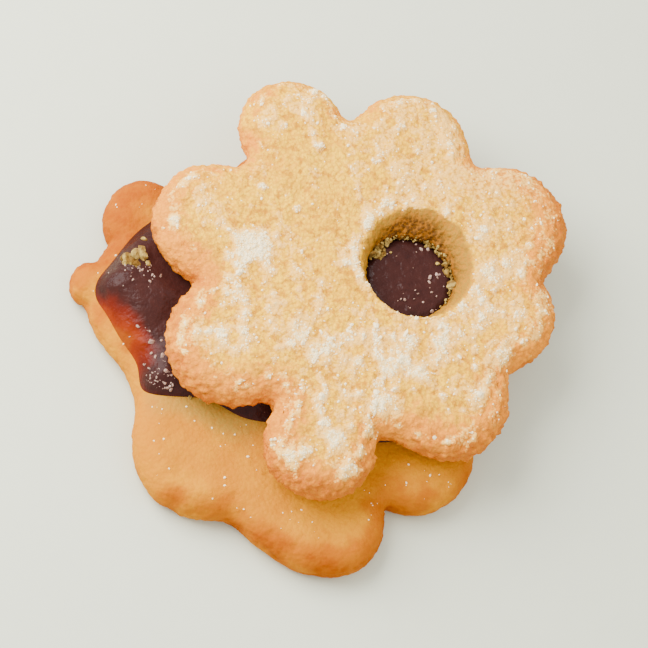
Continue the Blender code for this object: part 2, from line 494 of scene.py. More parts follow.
def crumb_relief(points, strength, seed):
    """Grainy baked dough: fine layered noise with rounded grains about a millimetre across."""
    grains, mark = cell_noise(points, GRAIN_SIZE, seed)
    fine = layered_noise(points, FINE_SIZE, 2, seed + 1)
    return strength * MM * (0.13 * fine + 0.26 * (0.5 - grains) * (0.3 + mark))


DUSTING = 0.32  # the thin dusting all over the upper biscuit
DUSTING_SLOPE = 0.001  # for each millimetre towards -Y
# More or less sugar, in millimetres from the biscuit's centre: x, y, radius and how much.
# The patch with less sugar at the south-east notch is partly painted shade.
SUGAR_AND_SHADE_PATCHES = (
    (-17.8, 4.2, 2.9, 0.95),
    (-25.5, -11.5, 3.2, 0.22),
    (-20.5, -9.5, 3.0, 0.12),
    (-24.0, -14.0, 8.0, -0.08),
    (-14.0, -28.6, 1.7, 0.38),
    (-6.4, -26.2, 1.7, 0.45),
    (-5.0, -31.0, 1.3, 0.45),
    (-9.0, -27.0, 5.0, -0.12),
    (-8.3, -34.0, 3.6, -0.40),
    (-11.6, -8.5, 1.8, 0.40),
    (-11.4, -11.2, 1.5, 0.35),
    (5.8, -11.0, 1.4, 0.50),
    (4.2, -13.4, 1.4, 0.50),
    (2.6, -15.6, 1.4, 0.50),
    (-0.8, -11.0, 1.8, 0.30),
    (0.5, -20.8, 2.2, 0.45),
    (7.6, -15.0, 2.0, 0.35),
    (12.0, -10.0, 2.4, 0.35),
    (18.5, 0.8, 2.2, 0.35),
    (20.6, -4.2, 2.4, 0.30),
    # less sugar at the south-east notch, partly painted shade there
    (7.5, -22.3, 4.0, -0.70),
    (29.0, 8.0, 8.0, -0.20),
    (-6.0, 27.0, 7.0, 0.12),
    (-6.0, -14.0, 6.0, 0.10),
    (-29.7, 7.2, 1.0, 0.75),
    (-33.0, 9.0, 3.0, -0.40),
    (-8.6, 14.2, 8.0, -0.30),
    (-9.1, 22.0, 5.0, -0.18),
    (-5.2, -2.0, 5.5, -0.26),
    (-14.0, 9.0, 6.0, -0.12),
    (-28.0, 1.2, 4.6, -0.60),
    (-15.4, -18.0, 3.6, -0.50),
    (-26.0, -17.0, 3.0, -0.25),
)
SUGAR_STREAK = (1.0, 0.65, 1.0)  # the dusting's mottles are longer along Y
EVEN_PLACE = (24.0, 20.0, 20.0)  # where the dusting is even: x, y and radius (mm)
EVEN_MORE = 0.16  # sugar added there
EVEN_CALM = 0.65  # share by which the mottles are fainter there
MOTTLE_SIZE = 3.2 * MM
SPECKLE_SIZE = 1.8 * MM
VEIN_SIZE = 2.6 * MM
CLUMP_SIZE = 1.9 * MM


def sugar_cover(points):
    """Share of the surface under powdered sugar: a thin dusting with patches, broken up into
    mottles a few millimetres long, thin branching veins and round clumps."""
    even = bell(points, *EVEN_PLACE)
    cover = DUSTING + EVEN_MORE * even - DUSTING_SLOPE * points[..., 1] / MM
    cover = with_rows(cover, bell, points, SUGAR_AND_SHADE_PATCHES)
    streaky = points * SUGAR_STREAK
    broken = 0.38 * smooth_noise(streaky, MOTTLE_SIZE, 40)
    broken = broken + 0.34 * layered_noise(streaky, SPECKLE_SIZE, 2, 41)
    veins = 1.0 - 4.0 * np.abs(smooth_noise(points, VEIN_SIZE, 44))
    broken = broken + 0.16 * np.clip(veins, -0.4, 1.0)
    clumps, mark = cell_noise(points, CLUMP_SIZE, 46)
    broken = broken + 0.8 * step_up(clumps, 0.55, 0.20) * (mark - 0.42)
    return cover + broken * (1.0 - EVEN_CALM * even)


UPPER_TOAST = 0.30  # how toasted the upper biscuit's edge is
UPPER_TOAST_REACH = 4.4  # distance in millimetres over which that fades
# More toast: direction and spread (degrees) from the biscuit's centre, and how much.
# The extra brown towards -66 and -40 degrees, on the south-east petal, is partly painted shade.
BROWNER_AND_SHADED_PETALS = (
    (-152.0, 24.0, 0.58),
    (-106.0, 18.0, 0.70),
    (170.0, 22.0, 0.40),
    (12.0, 30.0, 0.70),
    (-66.0, 20.0, 0.55),
    (-40.0, 20.0, 0.35),
)
# a broad patch on the east petal: partly toast, partly painted shade darkening that side
TOAST_AND_SHADE_PATCHES = ((31.0, 11.0, 9.0, 0.25),)
# How brown the window's rim is: everywhere, and more by direction from the mouth's centre.
# The brown is partly toast and partly painted shade, most of all on the far wall towards 95
# degrees.
RIM_TOAST_AND_SHADE = 0.15
BROWNER_AND_SHADED_RIM = ((95.0, 45.0, 2.00), (5.0, 50.0, 0.55))
DRIFT_FAN = (168.0, 42.0)  # sugar drifted against the rim: direction and spread (degrees)
DRIFT_REACH = 10.0  # its distance from the mouth's centre and its width (mm)
DRIFT_WIDTH = 0.9
UPPER_SIDE = (4.4, 1.2)  # heights (mm) between which the biscuit's side turns bare


def upper_marks(grid, outline):
    """Numbers from 0 to 1 over the upper biscuit: how toasted it is, how much sugar lies there,
    and how deep in the window's rim it is, scaled by the rim's tone, which is partly toast and
    partly painted shade."""
    edge = distance_to_line(grid, outline) / MM
    height = grid[..., 2]
    browner = with_rows(UPPER_TOAST, fan, way_to(grid), BROWNER_AND_SHADED_PETALS)
    noisy = layered_noise(grid, 4.0 * MM, 3, 30)
    # toast holds the edge's toasting, and on the east and south-east petals painted shade as well
    toast = browner * np.exp(-((edge / UPPER_TOAST_REACH) ** 2))
    toast = toast + 0.22 * noisy * np.exp(-edge / 9.0)
    toast = with_rows(toast, bell, grid, TOAST_AND_SHADE_PATCHES)
    from_mouth = grid[..., :2] - MOUTH_CENTRE
    window = np.hypot(from_mouth[..., 0], from_mouth[..., 1])
    depth = (BISCUIT_THICKNESS - height) / RIM_DEPTH * (window < MOUTH_RADIUS + 0.5 * MM)
    side = step_up(height / MM, *UPPER_SIDE) * (depth == 0.0)
    around = way_to(from_mouth)
    # the rim's tone scales the depth mark, so the rim's darkening carries painted shade on the far
    # wall as well as toast
    tone = with_rows(RIM_TOAST_AND_SHADE, fan, around, BROWNER_AND_SHADED_RIM)
    ragged = window + 0.9 * MM * layered_noise(grid, 2.2 * MM, 3, 31)
    depth = depth * (0.4 + 0.6 * tone)
    depth = depth + 0.22 * tone * step_up(ragged, MOUTH_RADIUS + 0.3 * MM, MOUTH_RADIUS - 2.0 * MM)
    drift = fan(around, *DRIFT_FAN) * np.exp(-(((window / MM - DRIFT_REACH) / DRIFT_WIDTH) ** 2))
    sugar = sugar_cover(grid) - 0.8 * side - 0.45 * step_up(edge, 2.0, 0.2)
    sugar = sugar - 0.9 * step_up(depth, 0.06, 0.30) + 0.7 * drift
    marks = (toast + 0.45 * side, sugar, depth)
    return [np.clip(mark, 0.0, 1.0) for mark in marks]


# Swells and lumps: height and size (mm) and seed.  Pits and pores: size (mm), share of the seeds
# that have one, depth (mm) and seed.
UNDERSIDE = (0.25, 0.05)  # heights (mm) between which a biscuit's underside begins
UPPER_WALL = (5.4, 3.6)  # and its side
UPPER_SWELLS = (0.22, 9.0, 1)
UPPER_LUMPS = (0.20, 2.6, 2)
UPPER_PITS = (2.0, 0.25, 0.34, 8)
UPPER_PORES = (1.1, 0.25, 0.20, 9)
SUGAR_DEPTH = 0.30 * MM  # how far thick sugar raises the surface


def make_upper_biscuit():
    """The sugared biscuit: its grid, moved along its normals by swells, lumps, crumb and pits,
    and raised where the sugar is thick.  The crumb is rougher where the dough is toasted, at the
    side, in the window's rim and towards -Y."""
    outline, grid = upper_grid()
    toast, sugar, depth = upper_marks(grid, outline)
    height = grid[..., 2] / MM
    side = step_up(height, *UPPER_WALL)
    under = step_up(height, *UNDERSIDE)
    relief = swells(grid, *UPPER_SWELLS) * (1.0 - under)
    relief += swells(grid, *UPPER_LUMPS) * (1.0 - 0.6 * under)
    rough = 0.75 + 0.9 * toast + 0.5 * side + 1.1 * depth
    rough += 0.6 * step_up(grid[..., 1] / MM, 0.0, -14.0)
    relief += crumb_relief(grid, rough, 3)
    relief += pores(grid, *UPPER_PITS) * np.clip(toast + side + 0.25, 0.0, 1.0)
    relief += pores(grid, *UPPER_PORES)
    relief += SUGAR_DEPTH * (step_up(sugar, 0.30, 0.90) - 0.75) * (1.0 - under)
    relief = np.where(under > 0.5, np.minimum(relief, 0.0), relief)
    surface = roughen(grid, True, relief)
    place = np.array((*centre_of("top_cookie", outline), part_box("top_cookie")[0][2]))
    surface += place
    mesh = grid_mesh("upper_biscuit", surface, True, toast=toast, sugar=sugar, depth=depth)
    add_piece("upper_biscuit", mesh, sugared_biscuit(), "top_cookie")
    return outline, place, surface, sugar


# Dents in the lower biscuit, in millimetres from its centre: x, y, radius and depth.
LOWER_DENTS = (
    (-17.8, -21.4, 2.3, 0.42),
    (-17.6, -21.2, 1.0, -0.34),
    (-19.7, -25.6, 1.3, 0.30),
    (-5.0, -27.0, 5.0, 0.30),
    (4.0, -29.0, 3.0, 0.18),
    (-10.0, -17.0, 4.0, 0.20),
)
LOWER_TOAST = 0.60  # how toasted the lower biscuit's edge is
LOWER_TOAST_REACH = 4.3  # distance in millimetres over which that fades
# More or less toast: direction and spread (degrees) from the biscuit's centre, and how much.
LOWER_EDGE_TONES = (
    (141.0, 25.0, 0.60),
    (165.0, 8.0, 0.15),
    (-152.0, 30.0, -0.50),
    (-86.0, 26.0, 0.35),
)
LOWER_BROWN_PATCHES = (
    (-19.7, -25.6, 2.2, 0.45),
    (-24.0, 20.5, 7.0, 0.38),
    (-18.4, -22.6, 2.6, 0.28),
)
LOWER_WALL = (5.2, 3.2)  # the numbers below are as for the upper biscuit
LOWER_SWELLS = (0.36, 10.0, 51)
LOWER_LUMPS = (0.10, 4.0, 52)
LOWER_PITS = (2.4, 0.12, 0.22, 58)
LOWER_PORES = (1.3, 0.3, 0.18, 59)
SMOOTH_BESIDE_JAM = 1.5  # millimetres from the jam over which the relief begins
SOAK_AND_SHADE_REACH = 4.2  # millimetres that the jam has soaked into the dough, darkening it, with painted shadow of the upper biscuit
SOAK_AND_SHADE_PLACE = (-14.0, -13.0, 10.0)  # where most of it is, soak and painted shadow under the upper biscuit's edge: x, y and radius (mm)


def make_lower_biscuit(place, jam_line):
    """The plain biscuit: its grid, moved along its normals by swells, lumps, crumb, pits and
    dents, and left smooth under the jam.  Its edge is toasted, and beside the jam's line it is
    darker a little way, mostly at one place: partly jam soaked in, partly painted shadow of the
    upper biscuit."""
    outline, grid = lower_grid()
    from_jam = grid - (*place[:2], 0.0)
    near_jam = distance_to_line(from_jam, jam_line) / MM
    edge = distance_to_line(grid, outline) / MM
    height = grid[..., 2] / MM
    side = step_up(height, *LOWER_WALL)
    under = step_up(height, *UNDERSIDE)
    noisy = layered_noise(grid, 5.0 * MM, 3, 50)
    tone = with_rows(LOWER_TOAST + 0.4 * noisy, fan, way_to(grid), LOWER_EDGE_TONES)
    toast = np.exp(-((edge / LOWER_TOAST_REACH) ** 2)) * tone + 0.16 * noisy
    toast = with_rows(toast, bell, grid, LOWER_BROWN_PATCHES)
    relief = swells(grid, *LOWER_SWELLS) * (1.0 - under)
    relief += swells(grid, *LOWER_LUMPS)
    relief += crumb_relief(grid, 0.30 + 0.7 * side, 53)
    relief += pores(grid, *LOWER_PITS)
    relief += pores(grid, *LOWER_PORES) * np.clip(side + 0.15, 0.0, 1.0)
    for x, y, radius, depth in LOWER_DENTS:
        dent = bell(grid, x, y, radius) - 0.3 * bell(grid, x, y, 1.9 * radius)
        relief -= depth * MM * dent * (1.0 - under)
    beside = step_up(near_jam, SMOOTH_BESIDE_JAM, 0.0)
    smooth = np.where(inside_line(from_jam, jam_line), 1.0, beside)
    relief *= 1.0 - smooth * step_up(height, 0.8, 1.6)
    relief = np.where(under > 0.5, np.minimum(relief, 0.0), relief)
    surface = roughen(grid, False, relief)
    surface[..., 2] = np.maximum(surface[..., 2], 0.0)
    # jam soaked in, together with a painted shadow of the upper biscuit: darker beside the jam's
    # line, most at one place under the biscuit's edge
    soak = np.exp(-((near_jam / (SOAK_AND_SHADE_REACH + 1.6 * noisy)) ** 2)) * (1.0 - side)
    soak = soak * (0.12 + 0.88 * bell(grid, *SOAK_AND_SHADE_PLACE))
    mesh = grid_mesh("lower_biscuit", surface, False, toast=toast, soak=soak)
    add_piece("lower_biscuit", mesh, golden_biscuit(), "base_cookie")
    return outline, surface


# ======== jam

JAM_LIP = 3.4 * MM  # width over which the jam's edge swells to its full height
JAM_LIP_THIN = 4.5 * MM  # more width where it has run out as a thin film
JAM_FILM_FAN = (193.0, 8.0)  # direction and spread (degrees) of that film
JAM_LAYER = 2.3 * MM  # thickness under the upper biscuit, a little into it
JAM_BULGE = 0.7 * MM  # further swelling where it has run out
JAM_FULLNESS = 1.8  # how steeply its lip rises
JAM_SINK = 0.25 * MM  # depth of its underside in the lower biscuit
JAM_UNDERCUT = 0.3 * MM  # how far its underside stops short of its outline
PLUG_OVERLAP = 0.1 * MM  # how far the jam in the window reaches into the wall
PLUG_DOME = 0.5 * MM  # how much higher its middle is than its edge
PLUG_DOME_SHARE = 0.22  # share of its radius over which it rises
PLUG_MIDDLE = 0.1  # size of its last ring, as a share of its first
JAM_SWELLS = (0.20, 4.5, 70)
JAM_LUMPS = (0.05, 1.3, 71)
PULP_SIZE = 2.0 * MM  # of the cells that may hold a bit of pulp
PULP_HEIGHT = 0.16 * MM
JAM_UNDER_RINGS = 12
JAM_EDGE_RINGS = 20  # square to its outline, and then the next ones up to the window
JAM_TOP_RINGS = 44
JAM_LIP_RINGS = 12  # those of the edge that are too steep for grains to lie on
JAM_OPEN_TOP = slice(JAM_UNDER_RINGS, JAM_UNDER_RINGS + JAM_EDGE_RINGS + JAM_TOP_RINGS)
PLUG_WALL_RINGS = 7
PLUG_TOP_RINGS = 39
PLUG_LEVEL_RING = -24  # a ring well inside the level part of the plug


def film(points):
    """How much of a thin film the jam's edge is, from 0 to 1, by direction."""
    return fan(way_to(points), *JAM_FILM_FAN)


def jam_grid(place, jam_line, lower_outline, upper_outline):
    """Grid of the jam: from the middle of its underside out to its lip, back over the swollen
    top, up the plug in the window and across the plug to its middle."""
    into = inward(jam_line)
    foot = facing_circle(jam_line, UPPER_POLE, WALL_CENTRE, WALL_RADIUS + PLUG_OVERLAP)
    middle = facing_circle(jam_line, UPPER_POLE, UPPER_POLE, POLE_RING)
    lines = between(middle, jam_line + into * JAM_UNDERCUT, JAM_UNDER_RINGS)
    insets = NORMAL_INSET * np.linspace(0.0, 1.0, JAM_EDGE_RINGS) ** 1.5
    lines += [jam_line + into * inset for inset in insets]
    lines += between(lines[-1], foot, JAM_TOP_RINGS)
    plan = np.array(lines)
    inset = distance_to_line(plan, jam_line)
    lip = JAM_LIP + JAM_LIP_THIN * film(plan)
    arc = 1.0 - (1.0 - np.clip(inset / lip, 0.0, 1.0)) ** JAM_FULLNESS
    out = distance_to_line(plan, upper_outline) * ~inside_line(plan, upper_outline)
    swell = (JAM_LAYER + JAM_BULGE * step_up(out, 0.0, 3.0 * MM)) * arc
    swell[:JAM_UNDER_RINGS] = -JAM_SINK
    below = place[:2] + plan
    within = distance_to_line(below, lower_outline) * inside_line(below, lower_outline)
    layer = np.dstack((plan, shoulder_height(within) + swell))
    edge_height = place[2] + BISCUIT_THICKNESS - JAM_DEPTH_IN_WINDOW - PLUG_DOME
    plug = []
    for share in shares(PLUG_WALL_RINGS):
        plug.append(lifted(foot, (1.0 - share) * layer[-1, :, 2] + share * edge_height))
    for share in shares(PLUG_TOP_RINGS):
        line = WALL_CENTRE + (foot - WALL_CENTRE) * (1.0 - share * (1.0 - PLUG_MIDDLE))
        flat = np.clip(1.0 - share / PLUG_DOME_SHARE, 0.0, 1.0) ** 2
        plug.append(lifted(line, edge_height + PLUG_DOME * (1.0 - flat)))
    return np.concatenate((layer, np.array(plug)))


def make_jam(place, jam_line, lower_outline, upper_outline):
    """The jam: its grid, moved along its normals by swells, lumps and bits of pulp.  It glows
    where it is thin, at its lip and most of all where it has run out as a film."""
    grid = jam_grid(place, jam_line, lower_outline, upper_outline)
    ring = np.arange(len(grid))[:, None]
    edge = distance_to_line(grid, jam_line) / MM
    lumps = swells(grid, *JAM_SWELLS) + swells(grid, *JAM_LUMPS)
    pulp, mark = cell_noise(grid, PULP_SIZE, 72)
    lumps += PULP_HEIGHT * step_up(pulp, 0.6, 0.1) * (mark < 0.4)
    lumps += 0.07 * MM * layered_noise(grid, 0.9 * MM, 2, 74)
    relief = np.where(ring >= JAM_UNDER_RINGS, lumps * step_up(edge, 0.0, 1.6), 0.0)
    surface = roughen(grid, False, relief)
    surface += (*place[:2], 0.0)
    glow = film(grid) * step_up(edge, 5.0, 0.0) + 0.16 * step_up(edge, 0.8, 0.0)
    glow = glow * (0.90 + 0.3 * smooth_noise(grid, 2.6 * MM, 73))
    glow = glow * (ring < JAM_OPEN_TOP.stop)
    mesh = grid_mesh("jam", surface, False, glow=glow)
    add_piece("jam_filling", mesh, fruit_jam(), "jam")
    return surface


# ======== scattered sugar and crumbs

def ball(subdivisions):
    """Points and triangles of a small round solid."""
    mesh = bmesh.new()
    bmesh.ops.create_icosphere(mesh, subdivisions=subdivisions, radius=1.0)
    points = np.array([v.co[:] for v in mesh.verts])
    faces = np.array([[v.index for v in f.verts] for f in mesh.faces])
    mesh.free()
    return points, faces


def random_turns(count, rng):
    """Random rotations, from unit quaternions."""
    q = rng.normal(size=(count, 4))
    q /= np.linalg.norm(q, axis=1)[:, None]
    w, x, y, z = q.T
    rows = (
        (1 - 2 * (y * y + z * z), 2 * (x * y - z * w), 2 * (x * z + y * w)),
        (2 * (x * y + z * w), 1 - 2 * (x * x + z * z), 2 * (y * z - x * w)),
        (2 * (x * z - y * w), 2 * (y * z + x * w), 1 - 2 * (x * x + y * y)),
    )
    return np.array(rows).transpose(2, 0, 1)


def add_bits(name, centres, radii, subdivisions, stretch, seed, material):
    """One piece of many small uneven solids: at each centre a ball, stretched by up to the given
    factor, with smooth lumps of its own, and turned at random."""
    rng = np.random.default_rng(seed)
    shape, faces = ball(subdivisions)
    count = len(centres)
    longer = rng.uniform(0.65, stretch, (count, 1, 3))
    own_place = rng.uniform(0.0, 40.0, (count, 1, 3))
    lumps = 1.0 + 0.45 * layered_noise(shape[None] + own_place, 1.1, 2, seed)[..., None]
    bits = shape[None] * lumps * longer * radii[:, None, None]
    bits = np.einsum("nij,nkj->nki", random_turns(count, rng), bits) + centres[:, None, :]
    first = np.arange(count)[:, None, None] * len(shape)
    mesh = bpy.data.meshes.new(name)
    mesh.from_pydata(bits.reshape(-1, 3), [], (faces[None] + first).reshape(-1, 3).tolist())
    add_piece(name, mesh, material)


def pick_places(surface, closed, weights, count, rng):
    """Random places on a grid's surface, likelier where the weights are large, and the normals
    there."""
    normals = grid_normals(surface, closed)
    across = np.linalg.norm(np.roll(surface, -1, axis=1) - surface, axis=2)
    along = np.linalg.norm(np.roll(surface, -1, axis=0) - surface, axis=2)
    chance = (weights * across * along)[:-1].ravel()
    chosen = rng.choice(len(chance), count, p=chance / chance.sum())
    row, column = np.unravel_index(chosen, (surface.shape[0] - 1, surface.shape[1]))
    right = (column + 1) % surface.shape[1]
    u = rng.random((count, 1))
    v = rng.random((count, 1))
    near = surface[row, column] * (1 - u) + surface[row, right] * u
    far = surface[row + 1, column] * (1 - u) + surface[row + 1, right] * u
    return near * (1 - v) + far * v, normals[row, column]


# Loose sugar: how many bits, and their middle radius.
CLUMPS = 4200
CLUMP_RADIUS = 0.13 * MM
FALLEN_GRAINS = 70
FALLEN_RADIUS = 0.085 * MM
RUN_GRAINS = 120
RUN_GRAIN_RADIUS = 0.075 * MM
PLUG_GRAINS = 30
PLUG_GRAIN_RADIUS = 0.11 * MM
# Where they lie on the jam that has run out, from the upper biscuit's centre, as above.
GRAIN_PATCHES = (
    (-31.3, -15.6, 3.6, 1.0),
    (-34.5, 1.5, 2.6, 0.6),
    (-27.5, -18.5, 2.5, 0.6),
    (-18.0, -20.0, 3.5, 2.0),
)


def make_sugar(surface, sugar, powder):
    """Clumps of powdered sugar on the upper biscuit, most of them where the dusting is thick."""
    rng = np.random.default_rng(90)
    weights = 0.008 + np.clip(sugar - 0.45, 0.0, 1.0) ** 1.5
    places, normals = pick_places(surface, True, weights * (sugar > 0.2), CLUMPS, rng)
    radii = CLUMP_RADIUS * rng.lognormal(0.0, 0.45, len(places))
    centres = places - normals * radii[:, None] * 0.35
    add_bits("sugar_clumps", centres, radii, 1, 1.4, 91, powder)


def make_fallen_sugar(surface, place, upper_outline, jam_line, powder):
    """A few grains of sugar that have fallen on the lower biscuit, more of them close to the
    upper one."""
    rng = np.random.default_rng(98)
    local = surface - (*place[:2], 0.0)
    away = distance_to_line(local, upper_outline) / MM
    bare = ~inside_line(local, upper_outline) & ~inside_line(local, jam_line)
    bare = bare & (away > 0.3) & (surface[..., 2] > 5.0 * MM)
    weights = bare * (0.2 + np.exp(-away / 3.0))
    places, _ = pick_places(surface, False, weights, FALLEN_GRAINS, rng)
    radii = FALLEN_RADIUS * rng.lognormal(0.0, 0.4, len(places))
    add_bits("fallen_sugar", places, radii, 1, 1.6, 99, powder)


def make_jam_grains(surface, place, upper_outline):
    """Sugar that has fallen on the jam, half dissolved: in the window, and close to the upper
    biscuit where the jam has run out."""
    rng = np.random.default_rng(95)
    ring = np.arange(len(surface))[:, None]
    local = surface - (*place[:2], 0.0)
    near = distance_to_line(local, upper_outline) / MM * ~inside_line(local, upper_outline)
    specks = 0.15 + step_up(smooth_noise(surface, 1.6 * MM, 96), -0.1, 0.5)
    patches = (with_rows(0.0, bell, local, GRAIN_PATCHES) + 0.012) * specks
    run = patches * (near > 0.15) * (ring >= JAM_UNDER_RINGS + JAM_LIP_RINGS)
    plug = ring > JAM_OPEN_TOP.stop + PLUG_WALL_RINGS
    on_run, _ = pick_places(surface, False, run, RUN_GRAINS, rng)
    on_plug, _ = pick_places(surface, False, plug * specks, PLUG_GRAINS, rng)
    places = np.vstack((on_run, on_plug))
    radii = np.repeat((RUN_GRAIN_RADIUS, PLUG_GRAIN_RADIUS), (RUN_GRAINS, PLUG_GRAINS))
    radii = radii * rng.lognormal(0.0, 0.45, len(places))
    add_bits("sugar_on_jam", places, radii, 2, 2.4, 97, damp_sugar())


# Crumbs of dough on the jam, in millimetres from the upper biscuit's centre: x, y and radius.
LARGE_CRUMBS = (
    (-34.6, 3.6, 1.00),
    (-33.6, 3.3, 0.75),
    (-35.8, 3.2, 0.80),
    (-36.6, 2.4, 0.50),
    (-35.0, 2.4, 0.45),
    (-33.8, 4.6, 0.50),
    (-32.9, 2.2, 0.35),
    (-33.2, 6.6, 0.45),
    (-26.6, -18.0, 0.28),
    (-25.0, -18.4, 0.32),
    (-23.9, -18.8, 0.25),
)
# Crumbs at the foot of the window's wall: direction from its middle (degrees), spread, how far
# inward they reach, how high up the wall (mm), how many and their radius (mm).
WALL_CRUMBS = (
    (138.0, 9.0, 1.9, 0.7, 16, 0.30),
    (20.0, 13.0, 1.4, 0.9, 18, 0.30),
    (80.0, 38.0, 0.5, 1.4, 90, 0.13),
    (-25.0, 18.0, 0.4, 0.6, 16, 0.16),
)


def make_crumbs(jam_surface, place):
    """Crumbs on the jam: a few large ones where it has run out, and a fringe of small ones at the
    foot of the window's far wall."""
    rng = np.random.default_rng(101)
    local = jam_surface - (*place[:2], 0.0)
    open_top = local[JAM_OPEN_TOP].reshape(-1, 3)
    centres = []
    radii = []
    for x, y, radius in LARGE_CRUMBS:
        nearest = np.argmin(np.sum((open_top[:, :2] / MM - (x, y)) ** 2, axis=1))
        centres.append(open_top[nearest] - (0.0, 0.0, 0.2 * radius * MM))
        radii.append(radius * MM)
    level = local[PLUG_LEVEL_RING, :, 2].mean()
    for way, spread, reach, rise, count, radius in WALL_CRUMBS:
        turn = np.radians(rng.normal(way, spread, count))
        out = WALL_RADIUS + 0.2 * MM - reach * MM * rng.random(count) ** 2
        plan = WALL_CENTRE + np.column_stack((np.cos(turn), np.sin(turn))) * out[:, None]
        height = level + rise * MM * rng.random(count) ** 2
        centres += list(np.column_stack((plan, height)))
        radii += list(radius * MM * rng.lognormal(0.0, 0.40, count))
    centres = np.array(centres) + (*place[:2], 0.0)
    add_bits("crumbs", centres, np.array(radii), 3, 1.5, 102, crumb_dough())


# ======== materials

class Nodes:
    """Short calls for building one material's node tree."""

    def __init__(self, name):
        """A new material with its shader, and the place of each point on the piece."""
        self.material = bpy.data.materials.new(name)
        self.material.use_nodes = True
        self.tree = self.material.node_tree
        self.shader = self.tree.nodes["Principled BSDF"]
        self.place = self.add("TexCoord", {}, "Object")

    def feed(self, socket, value):
        """Link a socket to another node's output, or set its number or colour."""
        if isinstance(value, bpy.types.NodeSocket):
            self.tree.links.new(value, socket)
        elif isinstance(value, tuple) and len(value) == 3 and socket.type == "RGBA":
            socket.default_value = (*value, 1.0)
        else:
            socket.default_value = value

    def add(self, kind, inputs, output, **settings):
        """Output of a new node, once its settings and inputs are made."""
        node = self.tree.nodes.new("ShaderNode" + kind)
        for name, value in settings.items():
            setattr(node, name, value)
        for socket, value in inputs.items():
            self.feed(node.inputs[socket], value)
        return node.outputs[output]

    def number(self, name):
        """A number that the mesh stores for each of its points."""
        return self.add("Attribute", {}, "Fac", attribute_name=name)

    def noise(self, size, detail=2.0, roughness=0.5):
        """Noise with features about `size` metres across, from 0 to 1."""
        inputs = {"Vector": self.place, "Scale": 1.0 / size}
        return self.add("TexNoise", {**inputs, "Detail": detail, "Roughness": roughness}, "Fac")

    def cells(self, size):
        """Distance to the nearest of many scattered seeds, in cells of side `size`."""
        return self.add("TexVoronoi", {"Vector": self.place, "Scale": 1.0 / size}, "Distance")

    def math(self, operation, first, second):
        """Sum, product or difference of two numbers."""
        return self.add("Math", {0: first, 1: second}, 0, operation=operation)

    def rise(self, value, low, high, bottom=0.0, top=1.0):
        """Smooth step of a value from low to high, as a number from bottom to top."""
        inputs = {"Value": value, "From Min": low, "From Max": high}
        inputs.update({"To Min": bottom, "To Max": top})
        return self.add("MapRange", inputs, "Result", interpolation_type="SMOOTHSTEP")

    def mix(self, share, first, second):
        """Colour between two, by a share from 0 to 1."""
        return self.add("Mix", {"Factor": share, 6: first, 7: second}, 2, data_type="RGBA")

    def bump(self, height, depth, under=None):
        """Fine relief of the given depth in metres, on top of another relief if there is one."""
        inputs = {"Distance": depth, "Height": height}
        if under is not None:
            inputs["Normal"] = under
        return self.add("Bump", inputs, "Normal")

    def set(self, **sockets):
        """Set or link the shader's sockets, named with underscores."""
        for name, value in sockets.items():
            self.feed(self.shader.inputs[name.replace("_", " ")], value)
        return self.material


DOUGH = (0.84, 0.43, 0.004)
WARM_DOUGH = (0.92, 0.51, 0.010)
# painted shade: a darker dough standing in for shade in the crumb's hollows
SHADED_HOLLOW_DOUGH = (0.58, 0.24, 0.003)
# painted shade: darker dough in the seams between grains, standing in for shade between them
SEAM_SHADE_DOUGH = (0.48, 0.16, 0.003)
TOASTED_DOUGH = (0.76, 0.25, 0.010)
BROWN_DOUGH = (0.52, 0.13, 0.006)
# the window's rim: partly toasted and, deeper down, stained by jam, partly painted shade darkening
# its far wall and its depths
RIM_TOAST_SHADE_DOUGH = (0.34, 0.165, 0.012)
RIM_STAIN_SHADE_DOUGH = (0.11, 0.042, 0.007)
SUGAR_FILM = (0.91, 0.49, 0.10)
SUGAR_DUST = (0.98, 0.66, 0.24)
SUGAR_WHITE = (1.00, 0.90, 0.60)


